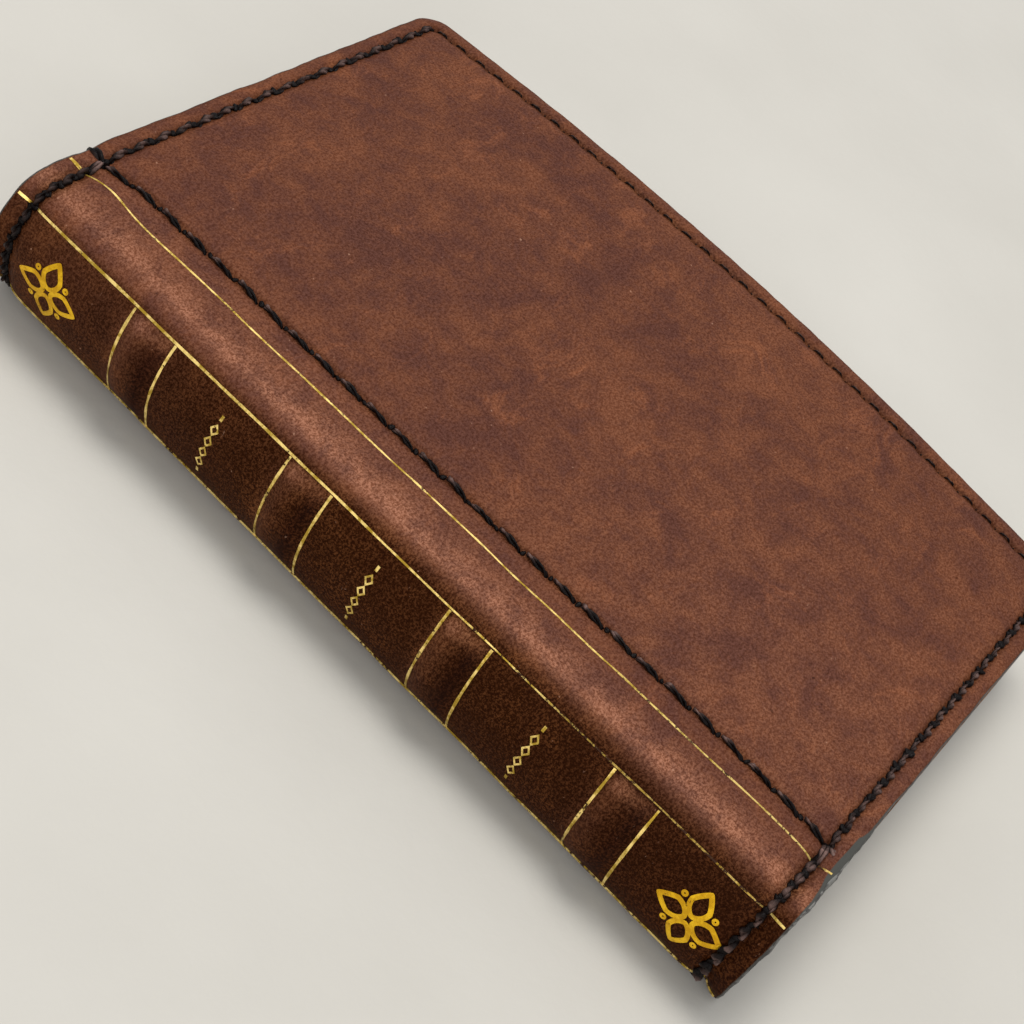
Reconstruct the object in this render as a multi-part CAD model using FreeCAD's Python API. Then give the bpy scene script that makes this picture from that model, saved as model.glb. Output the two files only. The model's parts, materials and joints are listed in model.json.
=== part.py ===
# A pocket journal in a hand-stitched leather cover with four raised bands on its spine.
# Millimetres. X runs from the spine to the fore-edge, Y from tail to head, Z up.
# The closed journal lies on its back cover; the origin is the bottom centre of its box.
import FreeCAD, Part
import math
import os
from FreeCAD import Vector

# Cover outline
cover_height = 152.4  # tail edge to head edge
closed_thickness = 24.2  # over both covers, at the hinges
cover_reach = 89.2  # hinge stitching to the middle of the fore-edge
fore_edge_bulge = 0.4  # the fore-edge's middle stands out past its corners
cover_corner_radius = 5.0
front_cover_bow = 3.8  # the front cover's outer corners droop below its middle
back_cover_bow = 0.0

# Layers of a cover
leather_thickness = 2.0
board_thickness = 1.2
lining_skin = 0.8  # lining leather over the board
pastedown_thickness = 0.2
board_margin = 6.6  # cover edge to board edge
board_hinge_gap = 2.2  # hinge stitching to board edge
board_corner_radius = 1.5
pastedown_margin = 5.2
pastedown_hinge_gap = 1.2

# Hinges
hinge_setback = 2.6  # hinge stitching to the hinge line
hinge_gap = 0.6  # between the leather of a cover and of the spine
valley_depth = 0.6  # the leather dips along the hinge
valley_half_width = 0.9
valley_slope = 1.0

# Spine section
spine_depth = 17.1  # hinge stitching to the back of the spine
face_radius = 17.6  # the round back of the spine
corner_radius = 5.6  # between the back and a shoulder
shoulder_radius = 30.0
shoulder_crest = 6.5  # hinge stitching to the highest line of a shoulder
shoulder_drop = 0.65  # that line lies this much under the cover's face
end_pinch = 0.5  # the stitching draws the spine's ends in
pinch_length = 9.0
stiffener_thickness = 1.0
stiffener_end_gap = 9.4  # cover edge to stiffener edge
stiffener_setback = 2.6  # hinge edge of the spine leather to the stiffener
spine_lining_skin = 1.0

# Raised bands
band_count = 4
band_pitch = 31.6
band_offset = -1.5  # the set of bands sits this much towards the tail
band_relief = 0.9
band_width = 7.6
band_half_chord = 8.3  # the bands fade out this far from mid-thickness
band_flank_width = 5.4  # where a band's steep flank turns towards its crown
band_flank_fall = 0.27  # that place lies this much under the crown
band_crown_width = 2.6
strip_width = 6.0
strip_crown_width = 3.4
strip_height = 0.9
strip_seat = 0.2  # leather left under a band where it fades out

# Gold lines
line_width = 0.5
foil_thickness = 0.08
joint_line = 4.1  # hinge stitching to the gold line along each shoulder
edge_line_height = 8.7  # mid-thickness to the gold line along each edge of the back
cross_line_spread = 8.2  # between the two lines beside a band
cross_line_reach = 8.1  # each side of mid-thickness

# Stitching
stitch_margin = 3.5  # cover edge to the stitches
stitch_pitch = 4.9
hinge_stitch_pitch = 5.4
stitch_gap = 0.7
thread_diameter = 0.9
stitch_slant = 8.0  # degrees
groove_width = 1.8
groove_seat_gap = 0.05  # under a straight stitch on the bowed cover
front_thread_proud = 0.35  # the thread stands above the leather
back_thread_proud = 0.0
heavy_pitch = 3.1
heavy_gap = 0.4
heavy_diameter = 1.3
heavy_groove_width = 1.9
heavy_groove_depth = 0.75
heavy_seat_gap = 0.15  # under the middle of a straight stitch on the round spine

# Pages
page_margin = 6.7  # head or tail edge of the cover to the pages
page_fore_gap = 5.6  # fore-edge of the cover to the pages
page_back = 6.5  # hinge stitching to the round back of the pages
page_shoulder = 0.5  # hinge stitching to the start of the rounding
page_clearance = 0.5  # pages to the pastedown of each cover
fore_edge_hollow = 1.0
mull_thickness = 0.4
mull_end_gap = 4.0
mull_edge_gap = 1.2

# Worked out from these
half_height = cover_height / 2
mid_z = closed_thickness / 2
cover_stack = leather_thickness + board_thickness + lining_skin
cover_edge_x = hinge_gap / 2 - hinge_setback
spine_edge_x = -hinge_gap / 2 - hinge_setback
stitch_row_y = half_height - stitch_margin
face_centre_x = face_radius - spine_depth
shoulder_centre_z = mid_z - shoulder_drop - shoulder_radius
centre_shift = (spine_depth + band_relief - cover_reach) / 2
above = 1.0  # cutters stand this much proud


def shared_tangent_centre():
    """Centre, from mid-thickness, of the corner arc that touches both back and shoulder."""
    far = face_radius - corner_radius
    near = shoulder_radius - corner_radius
    dx = -shoulder_crest - face_centre_x
    dz = shoulder_centre_z
    span = math.hypot(dx, dz)
    along = (far * far - near * near + span * span) / (2 * span)
    across = math.sqrt(far * far - along * along)
    ux, uz = dx / span, dz / span
    return face_centre_x + along * ux + across * uz, along * uz - across * ux


corner_x, corner_z = shared_tangent_centre()
shoulder_end = math.atan2(corner_z - shoulder_centre_z, corner_x + shoulder_crest)
face_start = math.atan2(corner_z, corner_x - face_centre_x)


def on_circle(x, z, radius, angle, y):
    """A point in the XZ plane at y; z is counted from mid-thickness."""
    return Vector(x + radius * math.cos(angle), y, mid_z + z + radius * math.sin(angle))


def arc(x, z, radius, start, end, y):
    points = [on_circle(x, z, radius, a, y) for a in (start, (start + end) / 2, end)]
    return Part.Arc(*points).toShape()


def spine_curve(inset, y):
    """The five arcs of the spine's section, moved inwards by inset, front hinge to back hinge."""
    shoulder = shoulder_radius - inset
    corner = corner_radius - inset
    face = face_radius - inset
    start = math.acos((spine_edge_x + shoulder_crest) / shoulder)
    return [
        arc(-shoulder_crest, shoulder_centre_z, shoulder, start, shoulder_end, y),
        arc(corner_x, corner_z, corner, shoulder_end, face_start, y),
        arc(face_centre_x, 0.0, face, face_start, 2 * math.pi - face_start, y),
        arc(corner_x, -corner_z, corner, -face_start, -shoulder_end, y),
        arc(-shoulder_crest, -shoulder_centre_z, shoulder, -shoulder_end, -start, y),
    ]


def curve_ends(edges):
    """First and last point of the spine's section: on the front hinge and on the back hinge."""
    points = [v.Point for e in (edges[0], edges[-1]) for v in e.Vertexes]
    on_hinge = [p for p in points if abs(p.x - spine_edge_x) < 1e-6]
    return max(on_hinge, key=lambda p: p.z), min(on_hinge, key=lambda p: p.z)


def closed_wire(edges):
    return Part.Wire(Part.__sortEdges__(edges))


def line(a, b):
    return Part.LineSegment(a, b).toShape()


def shell_wire(outer_inset, inner_inset, y):
    outer = spine_curve(outer_inset, y)
    inner = spine_curve(inner_inset, y)
    outer_front, outer_back = curve_ends(outer)
    inner_front, inner_back = curve_ends(inner)
    joins = [line(outer_front, inner_front), line(outer_back, inner_back)]
    return closed_wire(outer + joins + inner)


def core_wire(inset, y):
    edges = spine_curve(inset, y)
    front, back = curve_ends(edges)
    return closed_wire(edges + [line(front, back)])


def full_length_of(section):
    """Solid along the whole spine: straight in the middle, drawn in at both ends."""
    straight = half_height - pinch_length
    middle = Part.Face(section(0.0, -straight)).extrude(Vector(0, 2 * straight, 0))
    ends = []
    for side in (-1, 1):
        wires = [section(0.0, side * straight), section(end_pinch, side * half_height)]
        ends.append(Part.makeLoft(wires, True, True))
    return middle.fuse(ends)


def spine_shell(outer_inset, inner_inset):
    """A layer of the spine between two insets."""
    return full_length_of(lambda pinch, y: shell_wire(outer_inset + pinch, inner_inset + pinch, y))


def spine_core(inset):
    """Everything inside a layer of the spine."""
    return full_length_of(lambda pinch, y: core_wire(inset + pinch, y))


def box(x0, x1, y0, y1, z0, z1):
    return Part.makeBox(x1 - x0, y1 - y0, z1 - z0, Vector(x0, y0, z0))


def band_centres():
    first = band_offset - band_pitch * (band_count - 1) / 2
    return [first + band_pitch * i for i in range(band_count)]


band_rise = band_relief + face_radius - math.sqrt(face_radius**2 - band_half_chord**2)
band_radius = (band_half_chord**2 + band_rise**2) / (2 * band_rise)
band_axis_x = band_radius - spine_depth - band_relief
band_half_angle = math.degrees(math.asin(band_half_chord / band_radius))


def hump(centre_y, radius, depth, flank):
    """A rib that follows the spine's back and fades out at its ends; flank gives half widths and falls."""
    x_top = band_axis_x - radius
    base = [(flank[0][0], depth)]
    right = [Vector(x_top + fall, centre_y + w, mid_z) for w, fall in base + flank]
    left = [Vector(x_top + fall, centre_y - w, mid_z) for w, fall in reversed(base + flank)]
    points = right + left
    face = Part.Face(Part.makePolygon(points + points[:1]))
    axis_point = Vector(band_axis_x, 0, mid_z)
    face.rotate(axis_point, Vector(0, 1, 0), -band_half_angle)
    return face.revolve(axis_point, Vector(0, 1, 0), 2 * band_half_angle)


def leather_hump(y):
    flank = [
        (band_width / 2, band_relief),
        (band_flank_width / 2, band_flank_fall),
        (band_crown_width / 2, 0.0),
    ]
    return hump(y, band_radius, leather_thickness - strip_seat, flank)


def strip_hump(y):
    flank = [(strip_width / 2, strip_height), (strip_crown_width / 2, 0.0)]
    return hump(y, band_radius - leather_thickness, 2 * strip_height, flank)


def raised_bands():
    """The strips under the leather, seated on the stiffener's back."""
    inside = spine_core(leather_thickness)
    return [strip_hump(y).cut(inside) for y in band_centres()]


def gold_tooling():
    """The foil lines: along each shoulder, along each edge of the back, and beside each band."""
    foil = spine_shell(-foil_thickness, 0.0)
    half = line_width / 2
    x0 = -spine_depth - above
    cutters = []
    for side in (1, -1):
        z0, z1 = sorted((mid_z, mid_z + side * closed_thickness))
        cutters.append(box(-joint_line - half, -joint_line + half, -half_height, half_height, z0, z1))
        edge_z = mid_z + side * edge_line_height
        cutters.append(box(x0, corner_x, -half_height, half_height, edge_z - half, edge_z + half))
    z0, z1 = mid_z - cross_line_reach, mid_z + cross_line_reach
    for y in band_centres():
        for side in (1, -1):
            yc = y + side * cross_line_spread / 2
            cutters.append(box(x0, corner_x, yc - half, yc + half, z0, z1))
    lines = foil.common(Part.makeCompound(cutters))
    return lines.cut([end_groove(stitch_row_y), end_groove(-stitch_row_y)])


def end_groove(y):
    """Ring-shaped groove for the heavy stitching across one end of the spine."""
    half = heavy_groove_width / 2
    slab = box(-spine_depth - above, spine_edge_x, y - half, y + half, -above, closed_thickness + above)
    return slab.cut(spine_core(heavy_groove_depth))


def spine_leather():
    shape = spine_shell(0.0, leather_thickness)
    shape = shape.fuse([leather_hump(y) for y in band_centres()])
    shape = shape.cut([strip_hump(y) for y in band_centres()])
    return shape.cut([end_groove(stitch_row_y), end_groove(-stitch_row_y)])


def spine_stiffener():
    reach = half_height - stiffener_end_gap
    inner = leather_thickness + stiffener_thickness
    wires = [shell_wire(leather_thickness, inner, y) for y in (-reach, reach)]
    shell = Part.makeLoft(wires, True, True)
    keep = box(-spine_depth, spine_edge_x - stiffener_setback, -reach, reach, 0, closed_thickness)
    return shell.common(keep)


def spine_lining(stiffener):
    inner = leather_thickness + stiffener_thickness + spine_lining_skin
    return spine_shell(leather_thickness, inner).cut(stiffener)


def stitch(middle, direction, length, diameter):
    """One stitch: a short length of waxed thread, pressed square."""
    direction = direction.normalize()
    side = direction.cross(Vector(0, 0, 1))
    if side.Length < 0.1:
        side = Vector(0, 1, 0)
    side = side.normalize()
    up = side.cross(direction)
    start = middle - direction * (length / 2)
    corners = []
    for a, b in ((1, 1), (-1, 1), (-1, -1), (1, -1), (1, 1)):
        corners.append(start + (side * a + up * b) * (diameter / 2))
    return Part.Face(Part.makePolygon(corners)).extrude(direction * length)


def spine_point(distance, inset, y):
    """Point and direction on the spine's section, distance mm round from the front hinge."""
    for edge in spine_curve(inset, y):
        if distance <= edge.Length:
            u = edge.getParameterByLength(distance)
            return edge.valueAt(u), edge.tangentAt(u)
        distance -= edge.Length
    return edge.valueAt(edge.LastParameter), edge.tangentAt(edge.LastParameter)


def spine_stitching(y):
    """Heavy stitches round one end of the spine, lying in its groove."""
    row_pinch = end_pinch * (1 - stitch_margin / pinch_length)
    inset = row_pinch + heavy_groove_depth - heavy_seat_gap - heavy_diameter / 2
    total = sum(edge.Length for edge in spine_curve(inset, y))
    count = int(total / heavy_pitch)
    step = total / count
    length = step - heavy_gap
    stitches = []
    for i in range(count):
        middle, direction = spine_point(step * (i + 0.5), inset, y)
        stitches.append(stitch(middle, direction, length, heavy_diameter))
    return Part.makeCompound(stitches)


def droop(x, y, bow):
    """How far a cover's face lies below its flat hinge side."""
    return bow * (x - cover_edge_x) / (cover_reach - cover_edge_x) * (y / half_height) ** 2


def cover_section(x, top, bottom, bow):
    """Section of a cover layer across the book at x, between two depths under its face."""
    edges = []
    corners = []
    for depth in (top, bottom):
        z = closed_thickness - depth
        ends = [Vector(x, y, z - bow) for y in (-half_height, half_height)]
        corners.append(ends)
        if bow > 0:
            edges.append(Part.Arc(ends[0], Vector(x, 0, z), ends[1]).toShape())
        else:
            edges.append(line(*ends))
    joins = [line(corners[0][i], corners[1][i]) for i in (0, 1)]
    return closed_wire([edges[0], joins[1], edges[1], joins[0]])


def cover_layer(top, bottom, bow):
    """A sheet of the cover that is flat at the hinge and bowed at the fore-edge."""
    sections = [
        cover_section(cover_edge_x, top, bottom, 0.0),
        cover_section(cover_reach, top, bottom, bow),
    ]
    return Part.makeLoft(sections, True, True)


def plan_prism(margin, hinge_x, radius):
    """The cover's outline, moved inwards by margin, as an upright block."""
    h = half_height - margin
    middle = cover_reach - margin
    corner = middle - fore_edge_bulge
    z0, z1 = -above, closed_thickness + above
    tail = [Vector(x, -h, z0) for x in (hinge_x, corner)]
    head = [Vector(x, h, z0) for x in (hinge_x, corner)]
    fore_edge = Part.Arc(tail[1], Vector(middle, 0, z0), head[1]).toShape()
    outline = closed_wire([line(*tail), fore_edge, line(*head), line(head[0], tail[0])])
    prism = Part.Face(outline).extrude(Vector(0, 0, z1 - z0))
    if radius == 0:
        return prism
    fore_x = prism.BoundBox.Center.x
    uprights = [e for e in prism.Edges if e.BoundBox.ZLength > closed_thickness]
    return prism.makeFillet(radius, [e for e in uprights if e.CenterOfMass.x > fore_x])


def hinge_valley():
    """Cutter for the dip along the hinge, with sloping far side."""
    top = closed_thickness + above
    floor = closed_thickness - valley_depth
    far = valley_half_width + valley_slope
    points = [
        Vector(cover_edge_x - above, -half_height, top),
        Vector(cover_edge_x - above, -half_height, floor),
        Vector(valley_half_width, -half_height, floor),
        Vector(far, -half_height, closed_thickness),
        Vector(far, -half_height, top),
    ]
    return Part.Face(Part.makePolygon(points + points[:1])).extrude(Vector(0, cover_height, 0))


def stitch_ring():
    """Upright wall that follows the stitching along head, fore-edge and tail."""
    outer = plan_prism(stitch_margin - groove_width / 2, cover_edge_x - above, 0)
    inner = plan_prism(stitch_margin + groove_width / 2, cover_edge_x - 2 * above, 0)
    return outer.cut(inner)


def hinge_groove(depth):
    """Cutter for the groove of the hinge stitching, depth under the cover's face."""
    half = groove_width / 2
    top = closed_thickness + above
    return box(-half, half, -stitch_row_y, stitch_row_y, closed_thickness - depth, top)


def cover_rows():
    """Start and end of each row of edge stitches: tail, fore-edge, head."""
    x = cover_reach - fore_edge_bulge - stitch_margin
    tail = [Vector(0, -stitch_row_y, 0), Vector(x, -stitch_row_y, 0)]
    head = [Vector(x, stitch_row_y, 0), Vector(0, stitch_row_y, 0)]
    return [(tail[0], tail[1]), (tail[1], head[0]), (head[0], head[1])]


def row_of_stitches(start, end, pitch, bulge, height_at):
    """Slanted stitches from start to end; bulge bows the row outwards along X."""
    run = end - start
    count = max(1, round(run.Length / pitch))
    length = run.Length / count - stitch_gap
    direction = run.normalize()
    slant = FreeCAD.Rotation(Vector(0, 0, 1), stitch_slant)
    step = (end - start).Length / count
    stitches = []
    for i in range(count):
        middle = start + direction * (step * (i + 0.5))
        middle.x += bulge * (1 - (middle.y / half_height) ** 2)
        half = slant.multVec(direction) * (length / 2)
        ends = [middle - half, middle + half]
        for p in ends:
            p.z = height_at(p.x, p.y)
        stitches.append(stitch((ends[0] + ends[1]) / 2, ends[1] - ends[0], length, thread_diameter))
    return stitches


def edge_stitching(bow, proud):
    """The stitches of a cover's edge, lying in their groove."""

    def height_at(x, y):
        return closed_thickness + proud - thread_diameter / 2 - droop(x, y, bow)

    stitches = []
    for start, end in cover_rows():
        bulge = fore_edge_bulge if abs(start.x - end.x) < 1e-6 else 0.0
        stitches += row_of_stitches(start, end, stitch_pitch, bulge, height_at)
    return Part.makeCompound(stitches)


def hinge_stitching(proud):
    """The row along the hinge, in its valley between the two edge rows."""
    reach = stitch_row_y - hinge_stitch_pitch / 2
    start, end = Vector(0, -reach, 0), Vector(0, reach, 0)
    z = closed_thickness - valley_depth + proud - thread_diameter / 2
    return Part.makeCompound(row_of_stitches(start, end, hinge_stitch_pitch, 0.0, lambda x, y: z))


def cover(bow, proud):
    """All pieces of one cover, modelled as the front cover."""
    groove_depth = thread_diameter - proud + groove_seat_gap
    outline = plan_prism(0.0, cover_edge_x, cover_corner_radius)
    leather = cover_layer(0.0, leather_thickness, bow).common(outline)
    leather = leather.cut(hinge_valley())
    leather = leather.cut(stitch_ring().common(cover_layer(-above, groove_depth, bow)))
    leather = leather.cut(hinge_groove(valley_depth + groove_depth))
    board_outline = plan_prism(board_margin, board_hinge_gap, board_corner_radius)
    board_bottom = leather_thickness + board_thickness
    board = cover_layer(leather_thickness, board_bottom, bow).common(board_outline)
    lining = cover_layer(leather_thickness, cover_stack, bow).common(outline).cut(board)
    paper_outline = plan_prism(pastedown_margin, pastedown_hinge_gap, board_corner_radius)
    paper_bottom = cover_stack + pastedown_thickness
    return {
        "cover_leather": leather,
        "board": board,
        "lining": lining,
        "pastedown": cover_layer(cover_stack, paper_bottom, bow).common(paper_outline),
        "edge_stitching": edge_stitching(bow, proud),
        "hinge_stitching": hinge_stitching(proud),
    }


page_bottom = cover_stack + pastedown_thickness + page_clearance
page_top = closed_thickness - page_bottom
page_half_height = half_height - page_margin


def page_block():
    """The sewn pages: a rounded back, a hollow fore-edge and a top that follows the bowed cover."""
    y = -page_half_height
    fore_x = cover_reach - page_fore_gap
    top, bottom = Vector(-page_shoulder, y, page_top), Vector(-page_shoulder, y, page_bottom)
    fore_bottom, fore_top = Vector(fore_x, y, page_bottom), Vector(fore_x, y, page_top)
    hollow = Vector(fore_x - fore_edge_hollow, y, mid_z)
    edges = [
        Part.Arc(top, Vector(-page_back, y, mid_z), bottom).toShape(),
        line(bottom, fore_bottom),
        Part.Arc(fore_bottom, hollow, fore_top).toShape(),
        line(fore_top, top),
    ]
    block = Part.Face(closed_wire(edges)).extrude(Vector(0, 2 * page_half_height, 0))
    return block.cut(cover_layer(-above, page_bottom, front_cover_bow))


def spine_mull():
    """Cloth glued on the pages' round back."""
    half_chord = page_top - mid_z
    rise = page_back - page_shoulder
    radius = (half_chord**2 + rise**2) / (2 * rise)
    centre_x = radius - page_back
    reach = math.asin(half_chord / radius) - mull_edge_gap / radius
    y = -page_half_height + mull_end_gap
    start, end = math.pi - reach, math.pi + reach
    inner = arc(centre_x, 0.0, radius, start, end, y)
    outer = arc(centre_x, 0.0, radius + mull_thickness, start, end, y)
    joins = []
    for a in (start, end):
        points = [on_circle(centre_x, 0.0, r, a, y) for r in (radius, radius + mull_thickness)]
        joins.append(line(*points))
    face = Part.Face(closed_wire([inner, joins[1], outer, joins[0]]))
    return face.extrude(Vector(0, -2 * y, 0))


def build():
    """Every piece under its name."""
    stiffener = spine_stiffener()
    pieces = {
        "spine_leather": spine_leather(),
        "spine_stiffener": stiffener,
        "spine_lining": spine_lining(stiffener),
        "gold_tooling": gold_tooling(),
        "spine_head_stitching": spine_stitching(stitch_row_y),
        "spine_tail_stitching": spine_stitching(-stitch_row_y),
        "page_block": page_block(),
        "spine_mull": spine_mull(),
    }
    for i, strip in enumerate(raised_bands()):
        pieces["raised_band_%d" % (i + 1)] = strip
    for name, shape in cover(front_cover_bow, front_thread_proud).items():
        pieces["front_" + name] = shape
    for name, shape in cover(back_cover_bow, back_thread_proud).items():
        pieces["back_" + name] = shape.mirror(Vector(0, 0, mid_z), Vector(0, 0, 1))
    return pieces


os.makedirs("parts", exist_ok=True)
for name, shape in build().items():
    shape.translate(Vector(centre_shift, 0, 0))
    shape.exportStep("parts/%s.step" % name)
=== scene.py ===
import json
import math
import random

import bmesh
import bpy
import numpy as np
from mathutils import Matrix, Vector, noise

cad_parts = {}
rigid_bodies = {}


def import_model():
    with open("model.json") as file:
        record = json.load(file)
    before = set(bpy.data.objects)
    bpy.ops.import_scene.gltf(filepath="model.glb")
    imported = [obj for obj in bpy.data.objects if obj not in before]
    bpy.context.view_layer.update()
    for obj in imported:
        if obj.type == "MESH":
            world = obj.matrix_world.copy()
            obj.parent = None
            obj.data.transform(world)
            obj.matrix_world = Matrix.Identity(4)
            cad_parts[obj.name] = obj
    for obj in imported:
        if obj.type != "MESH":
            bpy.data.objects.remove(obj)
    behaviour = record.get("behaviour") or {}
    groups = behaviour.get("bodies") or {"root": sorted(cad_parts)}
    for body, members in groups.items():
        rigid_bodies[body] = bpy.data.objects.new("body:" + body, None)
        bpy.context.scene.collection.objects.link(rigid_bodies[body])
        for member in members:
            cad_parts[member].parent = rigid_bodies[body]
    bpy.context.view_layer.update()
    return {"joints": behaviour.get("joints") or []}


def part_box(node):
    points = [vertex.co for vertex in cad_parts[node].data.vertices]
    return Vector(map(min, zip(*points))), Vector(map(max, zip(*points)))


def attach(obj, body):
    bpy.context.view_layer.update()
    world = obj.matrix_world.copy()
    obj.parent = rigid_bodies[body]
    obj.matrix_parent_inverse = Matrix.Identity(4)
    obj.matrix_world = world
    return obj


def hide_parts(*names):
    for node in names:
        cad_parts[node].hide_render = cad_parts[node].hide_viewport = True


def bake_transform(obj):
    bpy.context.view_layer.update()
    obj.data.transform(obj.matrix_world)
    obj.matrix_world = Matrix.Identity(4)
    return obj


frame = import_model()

# ---------------------------------------------------------------- table, light and camera
# The closed journal lies on a pale matt table top under a broad overhead softbox, with a weaker
# panel before the spine and a faint one beyond the fore-edge. The camera looks down over the spine.
mm = 0.001


def add_node(tree, kind, inputs=(), **settings):
    """One node with its settings; inputs is a dict of socket name or number to value or socket."""
    made = tree.nodes.new(kind)
    for name, value in settings.items():
        setattr(made, name, value)
    for name, value in dict(inputs).items():
        if isinstance(value, bpy.types.NodeSocket):
            tree.links.new(value, made.inputs[name])
        else:
            made.inputs[name].default_value = value
    return made


def new_material(name):
    """A material with an empty tree that ends in a Principled BSDF."""
    material = bpy.data.materials.new(name)
    material.use_nodes = True
    tree = material.node_tree
    tree.nodes.clear()
    shader = tree.nodes.new("ShaderNodeBsdfPrincipled")
    out = tree.nodes.new("ShaderNodeOutputMaterial")
    tree.links.new(shader.outputs[0], out.inputs[0])
    return material, tree, shader


def noise_of(tree, vector, scale, detail=3, roughness=0.5, distortion=0):
    values = {"Vector": vector, "Scale": scale, "Detail": detail, "Roughness": roughness}
    return add_node(tree, "ShaderNodeTexNoise", values | {"Distortion": distortion}).outputs["Fac"]


def blend_colours(tree, factor, first, second, how="MIX"):
    """Two colours, each a socket or three numbers, blended by a factor."""
    first, second = ((*tone, 1) if isinstance(tone, tuple) else tone for tone in (first, second))
    inputs = {0: factor, 6: first, 7: second}
    return add_node(tree, "ShaderNodeMix", inputs, data_type="RGBA", blend_type=how).outputs[2]


def object_place(tree):
    return add_node(tree, "ShaderNodeTexCoord").outputs["Object"]


def finish(tree, shader, colour, roughness, height=None, relief=0.0001, strength=1.0):
    """Gives the shader a colour, a roughness, which may be a number, and a bump from a height."""
    tree.links.new(colour, shader.inputs["Base Color"])
    if isinstance(roughness, float):
        shader.inputs["Roughness"].default_value = roughness
    else:
        tree.links.new(roughness, shader.inputs["Roughness"])
    if height is not None:
        bump = add_node(tree, "ShaderNodeBump", {"Height": height, "Strength": strength, "Distance": relief})
        tree.links.new(bump.outputs[0], shader.inputs["Normal"])


table_finish, tree, shader = new_material("matt_table_top")
place = object_place(tree)
tone = blend_colours(tree, noise_of(tree, place, 14, 6), (0.46, 0.44, 0.395), (0.58, 0.56, 0.51))
finish(tree, shader, tone, 0.75, noise_of(tree, place, 260, 5), 0.0004, 0.25)
bpy.ops.mesh.primitive_plane_add(size=3)
table = bpy.context.object
table.name = "table_top"
table.data.materials.append(table_finish)


def softbox(name, place, aim, size, power, colour):
    """A square area light at place that faces aim."""
    bpy.ops.object.light_add(type="AREA", location=place)
    box = bpy.context.object
    box.name = name
    box.rotation_euler = (Vector(aim) - Vector(place)).to_track_quat("-Z", "Y").to_euler()
    box.data.size = size
    box.data.energy = power
    box.data.color = colour


softbox("overhead_softbox", (0.10, 0.10, 0.78), (-0.02, 0, 0.02), 0.36, 4.35, (1.0, 0.985, 0.96))
softbox("far_panel", (0.75, 0.2, 0.62), (0, 0, 0.02), 0.7, 0.5, (1.0, 0.97, 0.95))
softbox("near_panel", (-0.62, -0.3, 0.34), (-0.05, -0.02, 0), 0.6, 2.1, (1.0, 0.99, 0.97))
world = bpy.data.worlds.new("studio")
bpy.context.scene.world = world
world.use_nodes = True
world.node_tree.nodes["Background"].inputs[0].default_value = (0.96, 0.97, 1.0, 1)
world.node_tree.nodes["Background"].inputs[1].default_value = 0.6

camera_place = Vector((-0.2591, -0.0592, 0.2392))
camera_forward = Vector((0.718, 0.162, -0.677)).normalized()
camera_up = Vector((0.417, 0.678, 0.605))
camera_right = camera_forward.cross(camera_up).normalized()
camera_up = camera_right.cross(camera_forward)
bpy.ops.object.camera_add()
camera = bpy.context.object
camera_turn = Matrix((camera_right, camera_up, -camera_forward)).transposed().to_4x4()
camera.matrix_world = Matrix.Translation(camera_place) @ camera_turn
camera.data.lens = 77.3
camera.data.sensor_width = 36
camera.data.clip_start = 0.01
bpy.context.scene.camera = camera
bpy.context.scene.view_settings.view_transform = "Standard"

# ---------------------------------------------------------------- leather wrap, front part
# One piece of waxed pull-up cowhide, 2 mm thick, covers both boards and the back. It is wetted
# and pressed over the four strips, drawn down by the stitching and burnished at its edge.
# This part runs from the front fore-edge over the hinge and the back to its lower gold line.
_, cover_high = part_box("front_cover_leather")
hinges = {joint["name"]: joint for joint in frame["joints"]}
hinge_x = hinges["front_hinge"]["pos_m"][0]
stitch_x = hinge_x + 2.6 * mm
half_height = cover_high.y
face_z = cover_high.z
mid_z = face_z / 2
hide_thickness = 2.0 * mm
hide_edge = 0.05 * mm
fore_corner_x = cover_high.x - 0.05 * mm
corner_radius = 5.0 * mm
cover_bow = 3.8 * mm
row_y = half_height - 3.5 * mm
shoulder = {"x": stitch_x - 6.5 * mm, "z": -18.55 * mm, "r": 30.0 * mm, "end": math.radians(98.54)}
bend = {"x": stitch_x - 10.124 * mm, "z": 5.58 * mm, "r": 5.6 * mm, "end": math.radians(152.29)}
back = {"x": stitch_x + 0.5 * mm, "z": 0.0, "r": 17.6 * mm, "end": math.radians(207.71)}
far_bend = dict(bend, z=-bend["z"], end=math.tau)
seam_angle = math.radians(215)
valley_steps = (
    (-0.7, -0.045), (-0.6, -0.1), (-0.55, -0.14), (-0.5, -0.15), (-0.45, -0.125),
    (-0.45, -0.09), (-0.45, -0.06), (-0.45, -0.05), (-0.45, -0.05), (-0.5, -0.057))
band_places = [(-1.5 + 31.6 * step) * mm for step in (-1.5, -0.5, 0.5, 1.5)]
band_relief = 1.1 * mm
band_half_chord = 8.5 * mm


def only(piece):
    """Selects this piece alone."""
    bpy.ops.object.select_all(action="DESELECT")
    piece.select_set(True)
    bpy.context.view_layer.objects.active = piece


def edit_all(piece):
    """Opens this piece alone in edit mode, with everything selected."""
    only(piece)
    bpy.ops.object.mode_set(mode="EDIT")
    bpy.ops.mesh.select_all(action="SELECT")


def select_points(piece, test):
    """In edit mode, selects the points whose place passes the test, and the edges and faces between them."""
    bpy.ops.mesh.select_mode(type="VERT")
    bpy.ops.mesh.select_all(action="DESELECT")
    mesh = bmesh.from_edit_mesh(piece.data)
    for point in mesh.verts:
        point.select = bool(test(point.co))
    mesh.select_flush(True)
    bmesh.update_edit_mesh(piece.data)


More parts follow.
